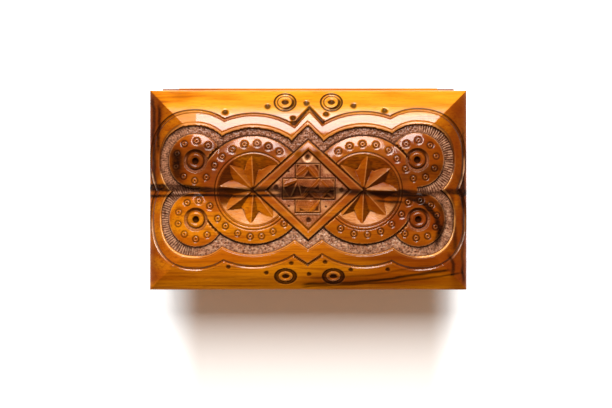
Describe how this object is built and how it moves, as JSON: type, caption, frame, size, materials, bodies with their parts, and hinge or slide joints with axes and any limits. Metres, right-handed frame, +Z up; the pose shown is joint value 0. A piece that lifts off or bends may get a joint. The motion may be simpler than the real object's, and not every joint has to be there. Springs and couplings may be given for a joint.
{
  "type": "carved wooden casket",
  "caption": "Small varnished wooden casket for keepsakes: a thick pillow-shaped lid carved with star rings, roundels and a diamond, on hidden hinge pins.",
  "frame": {"origin": "middle of the rectangle that the casket covers, on the surface that it stands on", "axes": "+X to the right along the length, +Y towards the back, where the hinge is, +Z up"},
  "size_m": [0.16, 0.1046, 0.06],
  "materials": {
    "varnished_wood": "carved fruitwood under glossy amber varnish, dark heartwood streaks and stained grooves",
    "peg_wood": "plain end grain under thin varnish",
    "steel": "drawn wire, dull"
  },
  "bodies": {
    "box": {"base_board": "varnished_wood", "front_wall": "varnished_wood", "back_wall": "varnished_wood", "left_wall": "varnished_wood", "right_wall": "varnished_wood", "base_nail_front_1": "steel", "base_nail_front_2": "steel", "base_nail_back_1": "steel", "base_nail_back_2": "steel", "base_nail_left_1": "steel", "base_nail_left_2": "steel", "base_nail_right_1": "steel", "base_nail_right_2": "steel", "hinge_pin_left": "steel", "hinge_pin_right": "steel"},
    "lid": {"lid_panel": "varnished_wood", "hinge_rail": "varnished_wood", "rail_dowel_1": "peg_wood", "rail_dowel_2": "peg_wood", "rail_dowel_3": "peg_wood", "lid_lip_front": "varnished_wood", "lid_lip_left": "varnished_wood", "lid_lip_right": "varnished_wood"}
  },
  "joints": [
    {"name": "lid_hinge", "type": "hinge", "parent": "box", "child": "lid", "pos_m": [0, 0.04625, 0.041], "axis": [-1, 0, 0], "range_deg": [0, 95]}
  ]
}
